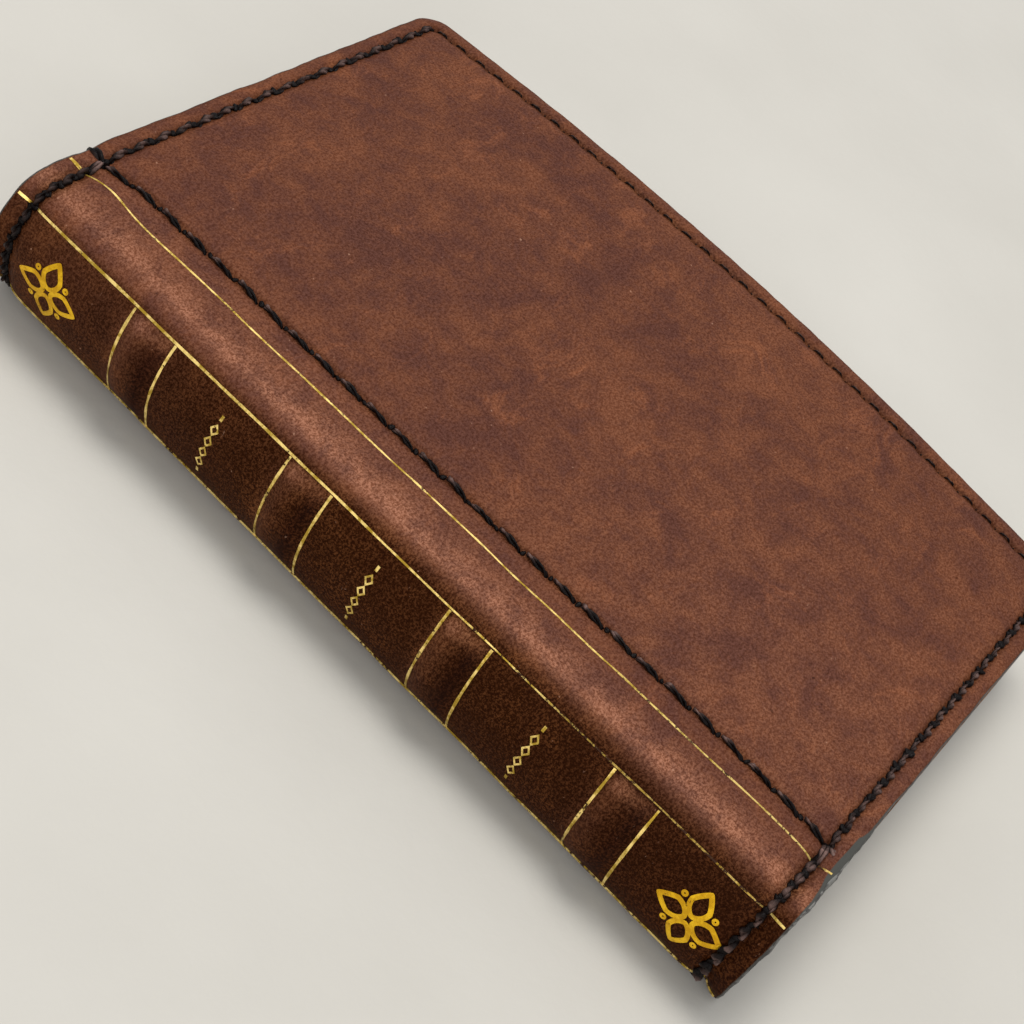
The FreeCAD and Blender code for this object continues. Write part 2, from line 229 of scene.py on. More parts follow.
def select_edges(piece, test):
    """Opens this piece alone in edit mode, with the edges that pass the test selected."""
    edit_all(piece)
    bpy.ops.mesh.select_mode(type="EDGE")
    bpy.ops.mesh.select_all(action="DESELECT")
    mesh = bmesh.from_edit_mesh(piece.data)
    for edge in mesh.edges:
        edge.select = test(edge)
    mesh.select_flush(False)
    bmesh.update_edit_mesh(piece.data)


def use_modifier(piece, kind, **settings):
    """Adds a modifier, sets it and applies it."""
    only(piece)
    bpy.ops.object.modifier_add(type=kind)
    modifier = piece.modifiers[-1]
    for name, value in settings.items():
        setattr(modifier, name, value)
    bpy.ops.object.modifier_apply(modifier=modifier.name)


def points_of(piece):
    places = np.empty(len(piece.data.vertices) * 3, np.float64)
    piece.data.vertices.foreach_get("co", places)
    return places.reshape(-1, 3)


def normals_of(piece):
    normals = np.empty(len(piece.data.vertices) * 3, np.float64)
    piece.data.vertices.foreach_get("normal", normals)
    return normals.reshape(-1, 3)


def move_points(piece, places):
    piece.data.vertices.foreach_set("co", places.reshape(-1))
    piece.data.update()


def ease(value, low, high):
    """Smooth step from 0 at low to 1 at high, each a number or one for every value."""
    t = np.clip((value - low) / (high - low), 0, 1)
    return t * t * (3 - 2 * t)


def waves(places, size, seed):
    """Smooth noise about 0 at each place, with lumps of that size."""
    shift = Vector((seed * 7.3, seed * 3.1, seed * 1.7))
    return np.array([noise.noise(Vector(p) / size + shift) for p in places])


hide_columns, hide_rows = 104, 196


def lay_hide(name, last_angle):
    """A flat sheet over a cover whose spine edge is drawn down into the hinge valley and rolled round the
    shoulder, the bend, the round back and the other bend, as far as last_angle."""
    flat_start = stitch_x + 2.6 * mm
    width = fore_corner_x - flat_start
    bpy.ops.mesh.primitive_grid_add(x_subdivisions=hide_columns, y_subdivisions=hide_rows, size=1)
    hide = bpy.context.object
    hide.name = name
    edit_all(hide)
    bpy.ops.transform.resize(value=(width, 2 * (half_height + hide_edge), 1))
    bpy.ops.transform.translate(value=(flat_start + width / 2, 0, face_z))
    for x in station_cuts:
        bpy.ops.mesh.select_all(action="SELECT")
        bpy.ops.mesh.bisect(plane_co=(x, 0, 0), plane_no=(1, 0, 0))
    select_points(hide, lambda p: p.x < flat_start + 1e-6)
    for dx, dz in valley_steps:
        bpy.ops.mesh.extrude_region_move(TRANSFORM_OT_translate={"value": (dx * mm, 0, dz * mm)})
    valley_end = flat_start + sum(step[0] for step in valley_steps) * mm
    angle = math.acos((valley_end - shoulder["x"]) / shoulder["r"])
    round_parts = ((shoulder, 0.62 * mm), (bend, 0.42 * mm), (back, 0.52 * mm), (far_bend, 0.3 * mm))
    for part, spacing in round_parts:
        end = min(part["end"], last_angle)
        if end > angle + 1e-4:
            steps = max(1, round((end - angle) * part["r"] / spacing))
            centre = (part["x"], 0, mid_z + part["z"])
            bpy.ops.mesh.spin(steps=steps, angle=end - angle, center=centre, axis=(0, 1, 0))
            angle = end
    for y in row_cuts:
        bpy.ops.mesh.select_all(action="SELECT")
        bpy.ops.mesh.bisect(plane_co=(0, y, 0), plane_no=(0, 1, 0))
    bpy.ops.mesh.select_all(action="SELECT")
    bpy.ops.mesh.normals_make_consistent(inside=False)
    bpy.ops.object.mode_set(mode="OBJECT")
    if sum(face.normal.z * face.area for face in hide.data.polygons) < 0:
        hide.data.flip_normals()
    return hide


def read_lay(hide):
    """How far each point lies round the hide from the hinge stitching, and the grid of its points."""
    places = points_of(hide)
    rows, row_of = np.unique(np.round(places[:, 1], 6), return_inverse=True)
    tail_row = places[row_of == 0][:, (0, 2)]
    order = [int(np.argmax(tail_row[:, 0]))]
    left = set(range(len(tail_row))) - set(order)
    while left:
        gaps = {i: float(np.hypot(*(tail_row[i] - tail_row[order[-1]]))) for i in left}
        order.append(min(gaps, key=gaps.get))
        left.remove(order[-1])
    walk = tail_row[order]
    steps = np.hypot(*np.diff(walk, axis=0).T)
    distance = walk[0, 0] - stitch_x - np.concatenate([[0], np.cumsum(steps)])
    walk, distance = walk[::-1], distance[::-1]
    gaps = (places[:, None, 0] - walk[None, :, 0]) ** 2 + (places[:, None, 2] - walk[None, :, 1]) ** 2
    station_of = np.argmin(gaps, axis=1)
    grid = np.empty((len(walk), len(rows)), int)
    grid[station_of, row_of.reshape(-1)] = np.arange(len(places))
    return {"u": distance, "y": rows, "grid": grid, "u_of": distance[station_of], "y_of": places[:, 1]}


def near(value, places):
    """Distance from each value to the nearest of the places."""
    return np.min(np.abs(value[:, None] - np.asarray(places)[None, :]), axis=1)


def holes_between(start, end, pitch):
    return np.linspace(start, end, max(1, round(abs(end - start) / pitch)) + 1)


def bell(value, width):
    return np.exp(-((value / width) ** 2))


fore_row_x = fore_corner_x - 3.5 * mm
fore_row_u = fore_row_x - stitch_x
row_offsets = [offset * mm for offset in (-0.9, -0.45, 0, 0.45, 0.9)]
row_cuts = [side * (row_y + offset) for side in (-1, 1) for offset in row_offsets]
station_cuts = [fore_row_x + offset for offset in row_offsets]
hinge_holes = holes_between(-row_y, row_y, 5.35 * mm)
head_holes = holes_between(0, fore_row_u, 5.0 * mm)
tail_holes = holes_between(0, fore_row_u, 4.55 * mm)
fore_holes = holes_between(-row_y, row_y, 4.4 * mm)
spine_holes = holes_between(-3.5 * mm, -34.0 * mm, 3.1 * mm)
back_spine_holes = holes_between(-3.5 * mm, -14.4 * mm, 3.1 * mm)
edge_line_u = -15.5 * mm
cross_line_gap = 4.1 * mm


def spine_row_y(side, u):
    """The heavy row runs a little askew at the tail."""
    return side * row_y + (1.0 * mm * ease(-u, 3 * mm, 34 * mm) if side < 0 else 0)


def hinge_row_u(y):
    """The hinge stitching wanders a little and turns towards the spine at both ends."""
    wander = 0.55 * mm + 0.5 * mm * bell(y + 47 * mm, 20 * mm)
    return wander - 1.4 * mm * ease(y, 65 * mm, row_y) - 0.5 * mm * ease(-y, 66 * mm, row_y)


def cover_and_spine(u):
    """How far each place belongs to the cover, and how far to the spine."""
    return ease(u, -0.6 * mm, 0.6 * mm), 1 - ease(u, -3.4 * mm, -1.6 * mm)


def stitched_down(u, y, channel):
    """How far the rows of a cover draw the leather in: a channel, a dip at each hole and a thinner edge."""
    on_cover, _ = cover_and_spine(u)
    past_row, across, from_hinge = np.abs(y) - row_y, u - fore_row_u, u - hinge_row_u(y)
    drawn = channel * bell(from_hinge, 0.7 * mm) + 0.1 * mm * bell(from_hinge, 1.5 * mm)
    drawn *= past_row < 0.5 * mm
    drawn += 0.3 * mm * bell(from_hinge, 1.1 * mm) * bell(near(y, hinge_holes), 0.9 * mm)
    rows = [(past_row < 0.6 * mm, across, near(y, fore_holes))]
    for side, holes in ((1, head_holes), (-1, tail_holes)):
        rows.append(((y * side > 0) * on_cover * (across < 0.6 * mm), past_row, near(u, holes)))
    for here, off_row, off_hole in rows:
        drawn += here * (channel * bell(off_row, 0.7 * mm) + 0.1 * mm * bell(off_row, 1.8 * mm))
        drawn += here * 0.3 * mm * bell(off_row, 1.1 * mm) * bell(off_hole, 0.9 * mm)
    return drawn + on_cover * 0.35 * mm * ease(np.maximum(past_row, across), 1.6 * mm, 3.6 * mm)


def formed_spine(places, u, y, over_strips, under):
    """How far the back stands out: pinched by its end rows, pressed over the strips and slack at the tail."""
    _, on_spine = cover_and_spine(u)
    past_row = np.abs(y) - row_y
    seat = (0.25 + 0.3 * ease(-u, 4 * mm, 12 * mm)) * mm * bell(past_row, 1.05 * mm)
    seat += 0.2 * mm * bell(past_row, 2.6 * mm)
    drawn = 0.1 * mm * ease(np.abs(y), half_height - 9 * mm, row_y)
    flare = 0.25 * mm * ease(past_row, 0.9 * mm, 3.5 * mm)
    lump = 0.3 * mm * bell(past_row, 1.3 * mm) * bell(near(u, spine_holes), 0.8 * mm)
    height = on_spine * (flare - drawn - seat - lump + 0.1 * mm * waves(places, 8 * mm, 3))
    for y_band in band_places:
        away = np.abs(y - y_band)
        crown = 1 - ease(away, 1.9 * mm, 3.9 * mm)
        height += over_strips * (band_relief * crown - 0.1 * mm * bell(away - cross_line_gap, 0.7 * mm))
    slack = ease(-u, 3 * mm, 13 * mm) if under else ease(-u, 19 * mm, 33 * mm)
    return height + slack * (0.15 * mm - 1.05 * mm * y / row_y)


def trimmed(places, u, bow):
    """The sheet cut unevenly to its outline, with round corners, a fuller fore-edge and the cover's bow."""
    x, y, z = places.T
    bulge = 0.4 * mm * (1 - (y / half_height) ** 2)
    reach = (x - fore_corner_x + corner_radius) / corner_radius
    rise = (np.abs(y) - half_height - hide_edge + corner_radius) / corner_radius
    corner = (reach > 0) & (rise > 0)
    squeeze = np.where(corner, np.maximum(reach, rise) / np.hypot(np.where(corner, reach, 1), rise), 1)
    side = np.sign(y)
    x = x + (squeeze - 1) * reach * corner_radius
    y = y + side * (squeeze - 1) * rise * corner_radius
    share = np.clip((x - hinge_x) / (fore_corner_x - hinge_x), 0, 1)
    edge_wave = waves(np.stack([u, side * 0.07, 0 * u], axis=1), 9 * mm, 4)
    y = y - side * ease(np.abs(y), row_y + 1 * mm, half_height) * (0.3 * mm * np.abs(edge_wave) + 0.1 * mm)
    return np.stack([x + bulge * share, y, z - bow * share * (y / half_height) ** 2], axis=1)


def paint_handling_and_light(hide, u, y, over_strips, under):
    """Marks where the leather is darkened by handling, by a pressed line and by painted shade, paled where it
    was pulled over an edge and by painted highlights, or painted at its cut edge.
    """
    on_cover, on_spine = cover_and_spine(u)
    past_row, from_hinge = np.abs(y) - row_y, u - hinge_row_u(y)
    past = np.maximum(past_row, u - fore_row_u)
    formed = ease(over_strips, 0, 0.45)
    crest = ease(-u, 15.2 * mm, 16.4 * mm) * (1 - ease(-u, 16.8 * mm, 19.4 * mm)) * (1 - under)
    band_foot_shade, light, lit = np.zeros((3, len(u)))
    # Each band gets painted shade at its tail-side foot, a painted highlight on its head side and a brighter
    # painted highlight at its upper end, as if lit from the head.
    for y_band in band_places:
        above = y - y_band
        band_end = crest * (1 - ease(np.abs(above), 3.2 * mm, 4.2 * mm))
        band_foot_shade = np.maximum(band_foot_shade, formed * bell(above + 2.3 * mm, 1.4 * mm))
        light = np.maximum(light, formed * bell(above - 2.8 * mm, 2.3 * mm))
        lit = np.maximum(lit, band_end * (0.75 + 0.07 * above / mm))
    on_back = ease(-u, 13.6 * mm - 2.8 * mm * ease(-y, -40 * mm, 30 * mm), 15.9 * mm)
    # Painted light: the face of the back is a little less dark just below the upper gold line, towards the
    # head.
    below_line = bell(u + 18 * mm, 3.5 * mm) * ease(y, -10 * mm, 30 * mm)
    # Darkening by handling plus painted shade: in the grooves along the stitch rows, on the border beyond
    # them and over the face of the back, where the painted shade deepens towards the tail and lifts under the
    # painted band highlights.
    dark = np.max([
        0.6 * bell(from_hinge, 0.75 * mm) * (past_row < 0.8 * mm),
        on_cover * 0.6 * bell(past, 0.8 * mm),
        on_cover * 0.35 * ease(past, 2.8 * mm, 3.8 * mm),
        on_spine * (0.8 * bell(past_row, 1.2 * mm) + 0.35 * ease(past_row, 2.8 * mm, 3.8 * mm)),
        on_back * (0.97 - 0.28 * ease(y, 20 * mm, 66 * mm) - 0.12 * below_line - 0.4 * light - 0.6 * lit),
    ], axis=0)
    # Painted shade on the tail-side foot of each band and over the back towards the tail, and the dark
    # pressed line under the upper gold line near the tail.
    deep = np.max([
        0.95 * band_foot_shade * (1 - lit),
        0.35 * ease(-u, 15 * mm, 17 * mm) * ease(-y, 10 * mm, row_y) * (1 - lit),
        0.6 * bell(u - edge_line_u, 0.4 * mm) * ease(-y, -20 * mm, 20 * mm),
    ], axis=0)
    ink = ease(past_row + 0.9 * mm * bell(u, 9 * mm) * (y < 0), 2.9 * mm, 3.8 * mm)
    # Pale pull-up over the bend of the shoulder with a painted highlight streak along its ridge, made
    # brighter mid-way and towards the tail; added to it are the painted band highlights, a paler strip by the
    # joint line towards the head and a painted sheen on the cover's tail corner.
    ridge_u = -11.1 * mm + 0.6 * mm * ease(-y, -20 * mm, 60 * mm)
    shoulder_pull_and_highlight = 0.5 * bell(u + 9.4 * mm, 3.2 * mm) + 0.6 * bell(u - ridge_u, 1.2 * mm)
    along = 0.9 + 0.3 * bell(y - 8 * mm, 30 * mm) + 0.16 * ease(-y, -30 * mm, 60 * mm)
    joint = bell(u + 3 * mm, 2.5 * mm) * ease(y, -50 * mm, 30 * mm)
    tail_corner_sheen = on_cover * ease(-y, -10 * mm, 60 * mm) * (1 - ease(u, 15 * mm, 75 * mm))
    pulled = shoulder_pull_and_highlight * along + 0.16 * joint + 0.14 * light + 0.75 * lit + 0.15 * tail_corner_sheen
    marks = {"handling_and_painted_shade": dark, "pressed_line_and_painted_shade": deep, "pulled_up_and_highlight": pulled, "edge_ink": ink}
    for name, value in marks.items():
        mark_points(hide, name, np.clip(value, 0, 1))


def mark_points(piece, name, values):
    made = piece.data.attributes.new(name, "FLOAT", "POINT")
    made.data.foreach_set("value", values)


def sculpt_hide(hide, lay, bow, channel, under):
    """Works the leather as the maker did, paints its handling, shade and highlights, and keeps the laid grid
    and the flat measures with it.
    """
    places, normals = points_of(hide), normals_of(hide)
    u, y = lay["u_of"], lay["y_of"]
    chord = places[:, 2] - mid_z
    over_strips = np.clip(1 - (chord / band_half_chord) ** 2, 0, 1) * (places[:, 0] < bend["x"]) * (1 - under)
    height = formed_spine(places, u, y, over_strips, under) - stitched_down(u, y, channel)
    height += 0.1 * mm * waves(places, 12 * mm, 1) + 0.03 * mm * waves(places, 4 * mm, 2)
    new = trimmed(places, u, bow) + normals * height[:, None]
    move_points(hide, new)
    paint_handling_and_light(hide, u, y, over_strips, under)
    lay["points"] = new[lay["grid"]]
    lay["normals"] = normals_of(hide)[lay["grid"]]
    flat_map = hide.data.uv_layers.new(name="hide_lay")
    corners = np.empty(len(hide.data.loops), int)
    hide.data.loops.foreach_get("vertex_index", corners)
    flat_map.data.foreach_set("uv", np.stack([u, y], axis=1)[corners].reshape(-1))


rim_slot = 2


def thicken_hide(hide, seam_test):
    """Gives the sheet its 2 mm and rounds the cut edge, but not along the seam at the lower gold line."""
    use_modifier(hide, "SOLIDIFY", thickness=hide_thickness, offset=-1, use_rim=True,
                 material_offset=1, material_offset_rim=rim_slot)

    def on_cut_edge(edge):
        slots = {face.material_index for face in edge.link_faces}
        middle = (edge.verts[0].co + edge.verts[1].co) / 2
        return len(slots) == 2 and rim_slot in slots and not seam_test(middle)

    select_edges(hide, on_cut_edge)
    bpy.ops.mesh.bevel(offset=0.42 * mm, segments=3, profile=0.55)
    bpy.ops.object.mode_set(mode="OBJECT")
    bpy.ops.object.shade_smooth()
    places = points_of(hide)
    rim_faces = [face for face in hide.data.polygons if face.material_index == rim_slot]
    painted = sorted({point for face in rim_faces for point in face.vertices})
    painted = [point for point in painted if not seam_test(Vector(places[point]))]
    rim = places[painted]
    heavy = 0.3 + 1.9 * bell(rim[:, 0] - hinge_x + 2 * mm, 11 * mm) * (rim[:, 1] < 0)
    lumps = 0.06 * mm + 0.3 * mm * waves(rim, 3.0 * mm, 6) + 0.12 * mm * waves(rim, 0.9 * mm, 7)
    places[painted] += normals_of(hide)[painted] * (heavy * np.maximum(lumps, -0.05 * mm))[:, None]
    move_points(hide, places)


def shader_group(name, inputs, outputs):
    """An empty node group with float, vector or colour sockets, its input node and its output node."""
    group = bpy.data.node_groups.new(name, "ShaderNodeTree")
    for socket, kind, value in inputs:
        made = group.interface.new_socket(socket, in_out="INPUT", socket_type="NodeSocket" + kind)
        if value is not None:
            made.default_value = value
    for socket, kind in outputs:
        group.interface.new_socket(socket, in_out="OUTPUT", socket_type="NodeSocket" + kind)
    return group, group.nodes.new("NodeGroupInput"), group.nodes.new("NodeGroupOutput")


def between(tree, value, low, high, to_low=0.0, to_high=1.0):
    """The value's range from low to high, stretched to to_low..to_high and held there."""
    values = {"Value": value, "From Min": low, "From Max": high, "To Min": to_low, "To Max": to_high}
    return add_node(tree, "ShaderNodeMapRange", values, interpolation_type="SMOOTHSTEP").outputs["Result"]


def reckon(tree, how, first, second=0):
    return add_node(tree, "ShaderNodeMath", {0: first, 1: second}, operation=how).outputs[0]


def times(tree, first, second):
    return reckon(tree, "MULTIPLY", first, second)


def shared(tree, first, first_share, second, second_share):
    """A weighted sum of two values."""
    return reckon(tree, "ADD", times(tree, first, first_share), times(tree, second, second_share))


def facing_up(tree):
    """1 where a face looks straight up or down, 0 where it stands upright."""
    normal = add_node(tree, "ShaderNodeTexCoord").outputs["Normal"]
    return reckon(tree, "ABSOLUTE", add_node(tree, "ShaderNodeSeparateXYZ", {0: normal}).outputs["Z"])


def mark(tree, name):
    """The value marked on the points under that name."""
    return add_node(tree, "ShaderNodeAttribute", attribute_name=name).outputs["Fac"]


def stretched(tree, vector, turn, scale):
    values = {"Vector": vector, "Rotation": (0, 0, turn), "Scale": scale}
    return add_node(tree, "ShaderNodeMapping", values).outputs[0]


grain_values = ("Height", "Cloud", "Patch", "Speckle", "Dust", "Scratch", "Scuff", "Pit")
hide_grain, grain_in, grain_out = shader_group(
    "hide_grain",
    [("Vector", "Vector", None), ("Coarseness", "Float", 1.0)],
    [(value, "Float") for value in grain_values],
)
scaled = {0: grain_in.outputs["Vector"], "Scale": grain_in.outputs["Coarseness"]}
finer = add_node(hide_grain, "ShaderNodeVectorMath", scaled, operation="SCALE").outputs[0]
fine_grain = noise_of(hide_grain, finer, 3300, 2, 0.75)
mottle = noise_of(hide_grain, finer, 1900, 2, 0.7)
speckle = shared(hide_grain, fine_grain, 0.5, mottle, 0.5)
pebbles = {"Vector": finer, "Scale": 2200}
pebble = add_node(hide_grain, "ShaderNodeTexVoronoi", pebbles, feature="F1").outputs["Distance"]
specks = noise_of(hide_grain, finer, 950, 1, 0.5)
drawn_out = stretched(hide_grain, finer, 0.7, (420, 1300, 400))
rubbing = stretched(hide_grain, finer, -0.5, (75, 120, 100))
for value, source in (
    ("Height", reckon(hide_grain, "ADD", times(hide_grain, pebble, 0.6), speckle)),
    ("Cloud", noise_of(hide_grain, finer, 38, 3, 0.6, 0.4)),
    ("Patch", noise_of(hide_grain, finer, 170, 6, 0.75, 0.3)),
    ("Speckle", between(hide_grain, speckle, 0.38, 0.62)),
    ("Dust", between(hide_grain, specks, 0.775, 0.82)),
    ("Pit", between(hide_grain, specks, 0.18, 0.26, 1.0, 0.0)),
    ("Scratch", between(hide_grain, noise_of(hide_grain, drawn_out, 1, 2, 0.6, 2.2), 0.72, 0.8)),
    ("Scuff", between(hide_grain, noise_of(hide_grain, rubbing, 1, 6, 0.72, 1.0), 0.54, 0.72)),
):
    hide_grain.links.new(source, grain_out.inputs[value])

cowhide_tones = [
    (0.081, 0.029, 0.019), (0.098, 0.0345, 0.02), (0.116, 0.0405, 0.021), (0.139, 0.0485, 0.0235)]
cowhide_scuff, cowhide_pale = (0.25, 0.085, 0.036), (0.42, 0.24, 0.16)
# Pale tone for the pull-up and the painted highlights.
pulled_and_highlight_tone = (0.25, 0.1, 0.055)
# Deepest tone of the handling darkening and the painted shade.
handled_and_shaded_tone = (0.025, 0.0055, 0.0003)
suede_tones = [(0.15, 0.075, 0.04), (0.2, 0.105, 0.058), (0.25, 0.14, 0.08)]
suede_scuff, suede_pale = (0.27, 0.15, 0.085), (0.4, 0.27, 0.18)
edge_paint_tone = (0.06, 0.06, 0.054)


def hide_finish(name, where, tones, scuff_tone, pale_tone, coarseness, roughness, relief, worked=False):
    """A leather material. tones run from the darkest cloud to the palest; a worked hide also darkens where it
    was handled, along a pressed line and under painted shade, and pales where it was pulled over an edge and
    under painted highlights."""
    material, tree, shader = new_material(name)
    if where == "hide_lay":
        flat_place = add_node(tree, "ShaderNodeUVMap", uv_map=where).outputs[0]
    else:
        flat_place = object_place(tree)
    grain = add_node(tree, "ShaderNodeGroup", {}, node_tree=hide_grain)
    tree.links.new(flat_place, grain.inputs["Vector"])
    grain.inputs["Coarseness"].default_value = coarseness
    sockets = (grain.outputs[value] for value in grain_values)
    height, cloud, patch, speckle, dust, scratch, scuff, pit = sockets
    ramp = add_node(tree, "ShaderNodeValToRGB", {0: shared(tree, cloud, 0.4, patch, 0.6)})
    low, high = 0.41, 0.59
    stops = ramp.color_ramp.elements
    stops[0].position, stops[0].color = low, (*tones[0], 1)
    stops[1].position, stops[1].color = high, (*tones[-1], 1)
    for number, tone in enumerate(tones[1:-1], 1):
        stops.new(low + (high - low) * number / (len(tones) - 1)).color = (*tone, 1)
    colour = blend_colours(tree, times(tree, scuff, 0.42), ramp.outputs[0], scuff_tone)
    if worked:
        # Pull-up paling and painted highlights.
        clouded = between(tree, patch, 0.35, 0.65, 0.25, 1.05)
        uneven = times(tree, clouded, between(tree, speckle, 0, 1, 0.75, 1.25))
        colour = blend_colours(tree, times(tree, mark(tree, "pulled_up_and_highlight"), uneven), colour, pulled_and_highlight_tone)
        # Darkening by handling and painted shade, turning warmer as it deepens.
        shade = mark(tree, "handling_and_painted_shade")
        clouded = between(tree, patch, 0.3, 0.7, 1.15, 0.85)
        uneven = times(tree, clouded, between(tree, speckle, 0, 1, 1.22, 0.7))
        colour = blend_colours(tree, shade, colour, (1, 0.94, 0.6), "MULTIPLY")
        colour = blend_colours(tree, times(tree, shade, uneven), colour, handled_and_shaded_tone)
        # Pressed line and painted shade, multiplied into the colour.
        colour = blend_colours(tree, mark(tree, "pressed_line_and_painted_shade"), colour, (0.5, 0.4, 0.4), "MULTIPLY")
    # Fine speckle of the grain, tinted to lift blue most so that it also reads as painted micro-glints.
    mottling_and_glints = blend_colours(tree, speckle, (0.67, 0.56, 0.48), (1.32, 1.44, 1.55))
    colour = blend_colours(tree, 1.0, colour, mottling_and_glints, "MULTIPLY")
    colour = blend_colours(tree, times(tree, scratch, 0.35), colour, pale_tone)
    colour = blend_colours(tree, times(tree, dust, 0.5), colour, pale_tone)
    colour = blend_colours(tree, times(tree, pit, 0.6), colour, (0.3, 0.25, 0.25), "MULTIPLY")
    if worked:
        ragged = reckon(tree, "ADD", mark(tree, "edge_ink"), times(tree, patch, 0.5))
        colour = blend_colours(tree, between(tree, ragged, 0.68, 0.8), colour, edge_paint_tone)
    gloss = between(tree, patch, 0.3, 0.7, roughness - 0.06, roughness + 0.08)
    finish(tree, shader, colour, gloss, height, relief)
    shader.inputs["Specular IOR Level"].default_value = 0.03
    return material


def suede_finish(name, where, coarseness, roughness, relief):
    """The unworked flesh side of a hide."""
    return hide_finish(name, where, suede_tones, suede_scuff, suede_pale, coarseness, roughness, relief)


waxed_cowhide = hide_finish("waxed_cowhide", "hide_lay", cowhide_tones, cowhide_scuff, cowhide_pale,
                            1.0, 0.5, 0.00004, worked=True)
flesh_side = suede_finish("flesh_side", "hide_lay", 0.8, 0.82, 0.00012)

edge_paint, tree, shader = new_material("edge_paint")
place = object_place(tree)
along_x = add_node(tree, "ShaderNodeSeparateXYZ", {0: place}).outputs[0]
from_hinge = reckon(tree, "ABSOLUTE", reckon(tree, "ADD", along_x, -hinge_x))
worn = between(tree, noise_of(tree, place, 560, 5, 0.7), 0.5, 0.62)
worn = times(tree, worn, between(tree, from_hinge, 0.006, 0.02, 1.0, 0.3))
colour = blend_colours(tree, worn, (0.02, 0.018, 0.016), (0.16, 0.157, 0.143))
gloss = between(tree, worn, 0, 1, 0.42, 0.65)
finish(tree, shader, colour, gloss, noise_of(tree, place, 900, 4, 0.6), 0.0004)


def dress_hide(hide):
    for leather in (waxed_cowhide, flesh_side, edge_paint):
        hide.data.materials.append(leather)


def rest_on_table(piece):
    """Presses the underside flat on the table."""
    pressed = points_of(piece)
    pressed[:, 2] = np.maximum(pressed[:, 2], 0.03 * mm)
    move_points(piece, pressed)


def round_the_back(point):
    return point.x < stitch_x - 8 * mm and abs(point.y) < half_height - 1 * mm


front_hide = lay_hide("front_hide", seam_angle)
front_lay = read_lay(front_hide)
sculpt_hide(front_hide, front_lay, cover_bow, 0.4 * mm, False)
dress_hide(front_hide)
seam_z = mid_z - 8.6 * mm
thicken_hide(front_hide, lambda point: point.z < seam_z and round_the_back(point))
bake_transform(front_hide)
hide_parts("front_cover_leather", "spine_leather")

# ---------------------------------------------------------------- leather wrap, back part
# The same hide goes on under the book: from the lower gold line round the lower shoulder, over
# the back hinge and the whole back cover, which lies flat on the table.
back_hide = lay_hide("back_hide", math.tau - seam_angle)
back_lay = read_lay(back_hide)
sculpt_hide(back_hide, back_lay, 0, 0.85 * mm, True)


def turn_under(piece):
    """Mirrors a piece of the front cover to the back cover, with its faces outwards again."""
    edit_all(piece)
    bpy.ops.transform.mirror(constraint_axis=(False, False, True), center_override=(0, 0, mid_z))
    bpy.ops.mesh.flip_normals()
    bpy.ops.object.mode_set(mode="OBJECT")


turn_under(back_hide)
rest_on_table(back_hide)
back_lay["points"] = points_of(back_hide)[back_lay["grid"]]
back_lay["normals"] = normals_of(back_hide)[back_lay["grid"]]
dress_hide(back_hide)
thicken_hide(back_hide, lambda point: point.z > 1.0 * mm and round_the_back(point))
rest_on_table(back_hide)
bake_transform(back_hide)
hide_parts("back_cover_leather")


# ---------------------------------------------------------------- linings, boards and endpapers
# Each cover is lined with thin suede over a stiff board; hide and lining were trimmed together
# and their cut edge was painted black and burnished. A paper pastedown covers the turn of the lining.
def finish_node(node, material):
    for slot in bpy.data.objects[node].material_slots:
        slot.material = material


suede_lining = suede_finish("suede_lining", "object", 0.9, 0.85, 0.0001)
tree = suede_lining.node_tree
shader = next(node for node in tree.nodes if node.type == "BSDF_PRINCIPLED")
edge_on = between(tree, facing_up(tree), 0.85, 0.6)
painted = blend_colours(tree, edge_on, shader.inputs["Base Color"].links[0].from_socket, edge_paint_tone)
tree.links.new(painted, shader.inputs["Base Color"])
for node in ("front_lining", "back_lining", "spine_lining"):
    finish_node(node, suede_lining)


def paper_colour(tree, fibres):
    return blend_colours(tree, fibres, (0.66, 0.6, 0.47), (0.8, 0.74, 0.61))


paper, tree, shader = new_material("laid_paper")
fibres = noise_of(tree, object_place(tree), 700, 5, 0.7)
finish(tree, shader, paper_colour(tree, fibres), between(tree, fibres, 0, 1, 0.8, 0.95), fibres, 0.00005, 0.6)
for node in ("front_pastedown", "back_pastedown"):
    finish_node(node, paper)

grey_board, tree, shader = new_material("grey_board")
flecks = noise_of(tree, object_place(tree), 1200, 4, 0.6)
colour = blend_colours(tree, flecks, (0.2, 0.18, 0.15), (0.34, 0.31, 0.27))
finish(tree, shader, colour, between(tree, flecks, 0, 1, 0.8, 0.95))
for node in ("front_board", "back_board", "spine_stiffener"):
    finish_node(node, grey_board)

# ---------------------------------------------------------------- pages
# Sewn sections of cream paper, rounded at the back and hollow at the fore-edge. Their edges show
# the leaves as fine lines. An open cotton cloth is glued over their back, under the leather.
def bands_of(tree, vector, scale, distortion, direction):
    values = {"Vector": vector, "Scale": scale, "Distortion": distortion}
    return add_node(tree, "ShaderNodeTexWave", values, bands_direction=direction).outputs["Fac"]


